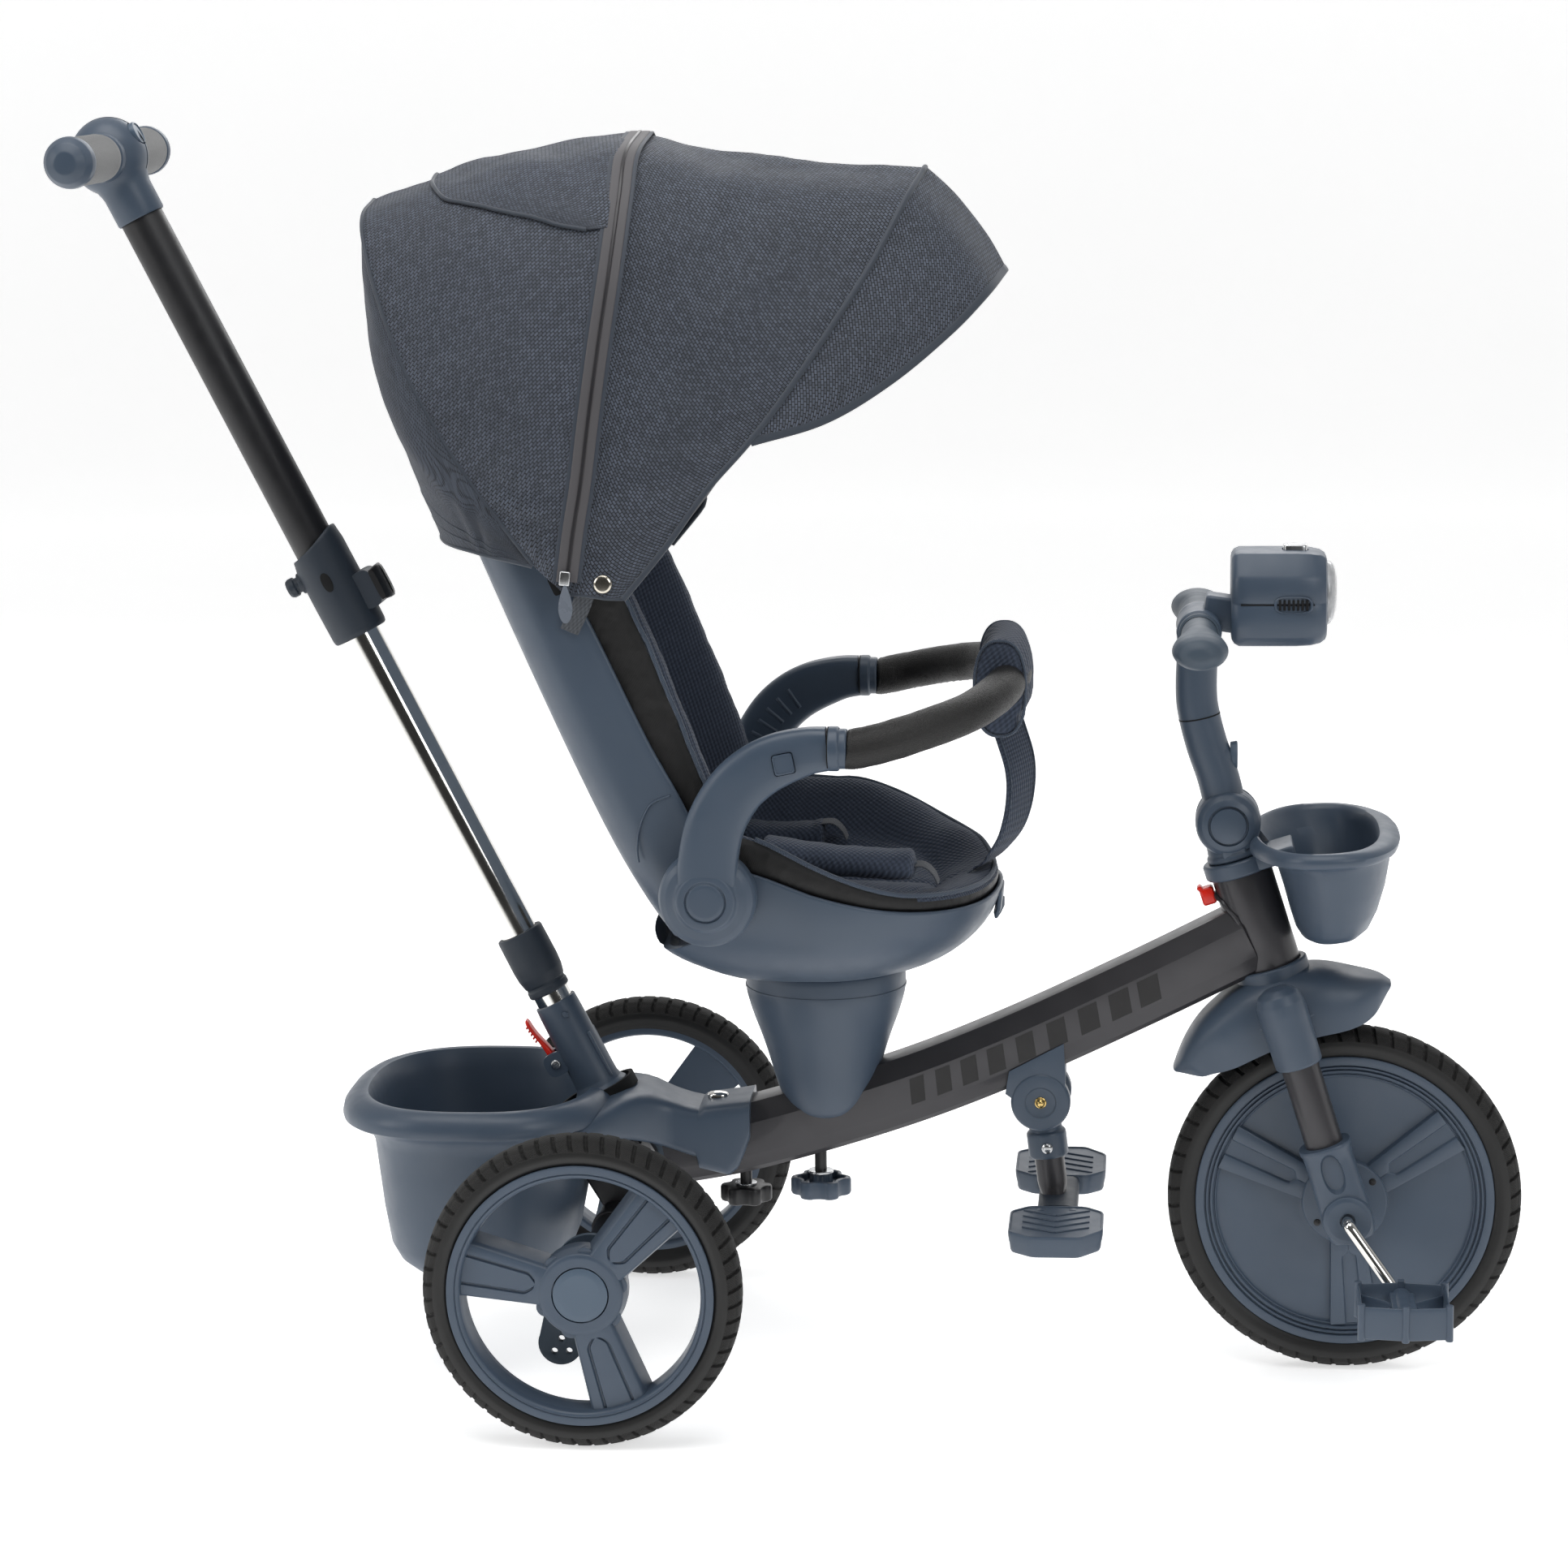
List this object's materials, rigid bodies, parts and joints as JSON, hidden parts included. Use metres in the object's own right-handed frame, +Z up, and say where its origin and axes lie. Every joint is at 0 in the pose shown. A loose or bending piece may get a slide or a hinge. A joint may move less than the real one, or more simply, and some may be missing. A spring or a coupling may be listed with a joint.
{
  "type": "child tricycle",
  "caption": "Child tricycle with a telescopic push handle, reclining swivel seat, folding fabric canopy, bumper bar, folding footrest and baskets.",
  "frame": {"origin": "middle of the bounding box's lower face, on the ground under the tricycle's middle plane", "axes": "+X forward, towards the front wheel; +Y to the rider's left, along the axles; +Z up"},
  "size_m": [1.1818, 0.5016, 1.0387],
  "materials": {
    "slate": "satin slate blue-grey moulding, finely grained",
    "frame_paint": "satin charcoal powder coat",
    "black_plastic": "satin black moulding",
    "tyre": "dull black tyre with a cut tread",
    "black_tube": "gloss black anodised tube",
    "chrome": "bright plated steel",
    "red_plastic": "gloss red moulding",
    "foam": "dull dark grey foam",
    "canopy_fabric": "navy mesh cloth with a diagonal weave",
    "pad_fabric": "padded navy mesh cloth with black satin sides and blue-grey piping",
    "leatherette": "grained black leatherette",
    "clear_lens": "clear lens",
    "silver_button": "silver plastic"
  },
  "bodies": {
    "frame": {"main_frame": "frame_paint", "rear_strut": "black_plastic", "rear_basket": "slate", "seat_pedestal": "slate", "footrest_bracket": "slate"},
    "seat_screw": {"seat_knob": "slate"},
    "basket_screw": {"basket_knob": "black_plastic"},
    "brake_right": {"brake_lever_right": "slate"},
    "brake_left": {"brake_lever_left": "slate"},
    "wheel_right": {"rear_rim_right": "slate", "rear_tyre_right": "tyre"},
    "wheel_left": {"rear_rim_left": "slate", "rear_tyre_left": "tyre"},
    "steering": {"fork": "frame_paint", "leg_cap_left": "slate", "leg_cap_right": "slate", "fender": "slate", "front_basket": "slate", "stem_base": "slate"},
    "wheel_front": {"front_rim": "slate", "front_tyre": "tyre", "crank": "chrome"},
    "pedal_right": {"pedal_right": "slate"},
    "pedal_left": {"pedal_left": "slate"},
    "handlebar": {"stem": "slate", "grip_left": "slate", "grip_right": "slate", "light_box": "slate", "light_lens": "clear_lens"},
    "stem_button": {"stem_button": "slate"},
    "light_button": {"light_button": "silver_button"},
    "head_lock": {"head_lock": "red_plastic"},
    "handle_lower": {"handle_receiver": "slate", "lower_tube": "chrome"},
    "release_lever": {"release_lever": "red_plastic"},
    "handle_upper": {"upper_tube": "black_tube", "telescopic_collar": "slate", "handle_hub": "slate", "handle_grip_left": "foam", "handle_grip_right": "foam"},
    "clamp_lever": {"clamp_lever": "black_plastic"},
    "hub_button": {"hub_button": "slate"},
    "seat": {"seat_shell": "slate", "seat_pad": "pad_fabric", "arm_left": "slate", "arm_right": "slate", "crotch_strap": "pad_fabric"},
    "arm_button_right": {"arm_button_right": "slate"},
    "arm_button_left": {"arm_button_left": "slate"},
    "bumper": {"bumper_bar": "leatherette", "bumper_wrap": "pad_fabric"},
    "backrest": {"back_shell": "slate", "back_pad": "pad_fabric", "canopy_rear": "canopy_fabric", "canopy_front": "canopy_fabric"},
    "recline_lever": {"recline_lever": "black_plastic"},
    "canopy_bow": {"canopy_visor": "canopy_fabric"},
    "footrest": {"footrest_stem": "slate"},
    "footplate_right": {"footplate_right": "slate"},
    "footplate_left": {"footplate_left": "slate"}
  },
  "joints": [
    {"name": "steer", "type": "hinge", "parent": "frame", "child": "steering", "pos_m": [0.4455, 0, 0.1454], "axis": [-0.3007, 0, 0.9537], "range_deg": [-30, 30]},
    {"name": "front_wheel_spin", "type": "hinge", "parent": "steering", "child": "wheel_front", "pos_m": [0.4455, 0, 0.1454], "axis": [0, 1, 0], "continuous": true},
    {"name": "pedal_right_spin", "type": "hinge", "parent": "wheel_front", "child": "pedal_right", "pos_m": [0.487, -0.15, 0.0899], "axis": [0, 1, 0], "continuous": true},
    {"name": "pedal_left_spin", "type": "hinge", "parent": "wheel_front", "child": "pedal_left", "pos_m": [0.404, 0.15, 0.2009], "axis": [0, 1, 0], "continuous": true},
    {"name": "wheel_right_spin", "type": "hinge", "parent": "frame", "child": "wheel_right", "pos_m": [-0.16, -0.231, 0.127], "axis": [0, 1, 0], "continuous": true},
    {"name": "wheel_left_spin", "type": "hinge", "parent": "frame", "child": "wheel_left", "pos_m": [-0.16, 0.231, 0.127], "axis": [0, 1, 0], "continuous": true},
    {"name": "brake_right_press", "type": "hinge", "parent": "frame", "child": "brake_right", "pos_m": [-0.16, -0.1775, 0.127], "axis": [0, -1, 0], "range_deg": [0, 15]},
    {"name": "brake_left_press", "type": "hinge", "parent": "frame", "child": "brake_left", "pos_m": [-0.16, 0.1775, 0.127], "axis": [0, -1, 0], "range_deg": [0, 15]},
    {"name": "seat_screw_turn", "type": "hinge", "parent": "frame", "child": "seat_screw", "pos_m": [0.011, 0, 0.15], "axis": [0, 0, 1], "continuous": true},
    {"name": "basket_screw_turn", "type": "hinge", "parent": "frame", "child": "basket_screw", "pos_m": [-0.052, 0, 0.142], "axis": [0, 0, 1], "continuous": true},
    {"name": "handlebar_tilt", "type": "hinge", "parent": "steering", "child": "handlebar", "pos_m": [0.348, 0, 0.4613], "axis": [0, 1, 0], "range_deg": [-15, 15]},
    {"name": "stem_button_press", "type": "slide", "parent": "handlebar", "child": "stem_button", "axis": [-1, 0, 0], "range_m": [0, 0.0025], "stiffness_N_per_m": 300},
    {"name": "light_button_press", "type": "slide", "parent": "handlebar", "child": "light_button", "axis": [-0.02, 0, -0.9998], "range_m": [0, 0.002], "stiffness_N_per_m": 300},
    {"name": "head_lock_turn", "type": "hinge", "parent": "frame", "child": "head_lock", "pos_m": [0.33428, 0, 0.39239], "axis": [0, -1, 0], "range_deg": [0, 20]},
    {"name": "handle_turn", "type": "hinge", "parent": "frame", "child": "handle_lower", "pos_m": [-0.171, 0, 0.227], "axis": [-0.4462, 0, 0.8949], "range_deg": [-30, 30]},
    {"name": "handle_slide", "type": "slide", "parent": "handle_lower", "child": "handle_upper", "axis": [0.4462, 0, -0.8949], "range_m": [0, 0.25]},
    {"name": "release_lever_pull", "type": "hinge", "parent": "handle_lower", "child": "release_lever", "pos_m": [-0.2105, 0, 0.25245], "axis": [0, -1, 0], "range_deg": [0, 25]},
    {"name": "clamp_lever_open", "type": "hinge", "parent": "handle_upper", "child": "clamp_lever", "pos_m": [-0.33863, 0, 0.64793], "axis": [0, 1, 0], "range_deg": [0, 70]},
    {"name": "hub_button_press", "type": "slide", "parent": "handle_upper", "child": "hub_button", "axis": [-0.8949, 0, -0.4462], "range_m": [0, 0.0025], "stiffness_N_per_m": 300},
    {"name": "seat_swivel", "type": "hinge", "parent": "frame", "child": "seat", "pos_m": [0.017, 0, 0.3265], "axis": [0, 0, 1], "range_deg": [0, 180]},
    {"name": "arm_button_right_press", "type": "slide", "parent": "seat", "child": "arm_button_right", "axis": [0, 1, 0], "range_m": [0, 0.0025], "stiffness_N_per_m": 300},
    {"name": "arm_button_left_press", "type": "slide", "parent": "seat", "child": "arm_button_left", "axis": [0, -1, 0], "range_m": [0, 0.0025], "stiffness_N_per_m": 300},
    {"name": "bumper_slide", "type": "slide", "parent": "seat", "child": "bumper", "axis": [1, 0, 0], "range_m": [0, 0.05], "deforming": ["crotch_strap"]},
    {"name": "recline", "type": "hinge", "parent": "seat", "child": "backrest", "pos_m": [-0.062, 0, 0.4314], "axis": [0, 1, 0], "range_deg": [-10, 0]},
    {"name": "recline_lever_pull", "type": "hinge", "parent": "backrest", "child": "recline_lever", "pos_m": [-0.13313, 0, 0.42608], "axis": [0, 1, 0], "range_deg": [0, 20]},
    {"name": "canopy_fold", "type": "hinge", "parent": "backrest", "child": "canopy_bow", "pos_m": [-0.14, 0, 0.679], "axis": [0, -1, 0], "range_deg": [0, 33], "deforming": ["canopy_front"]},
    {"name": "footrest_fold", "type": "hinge", "parent": "frame", "child": "footrest", "pos_m": [0.1954, 0, 0.2288], "axis": [0, 1, 0], "range_deg": [0, 60]},
    {"name": "footplate_right_fold", "type": "hinge", "parent": "footrest", "child": "footplate_right", "pos_m": [0.2097, -0.0455, 0.148], "axis": [-1, 0, 0], "range_deg": [0, 80]},
    {"name": "footplate_left_fold", "type": "hinge", "parent": "footrest", "child": "footplate_left", "pos_m": [0.2097, 0.0455, 0.148], "axis": [1, 0, 0], "range_deg": [0, 80]}
  ],
  "couplings": [
    {"joint": "handle_turn", "follows": "steer", "ratio": 1}
  ]
}
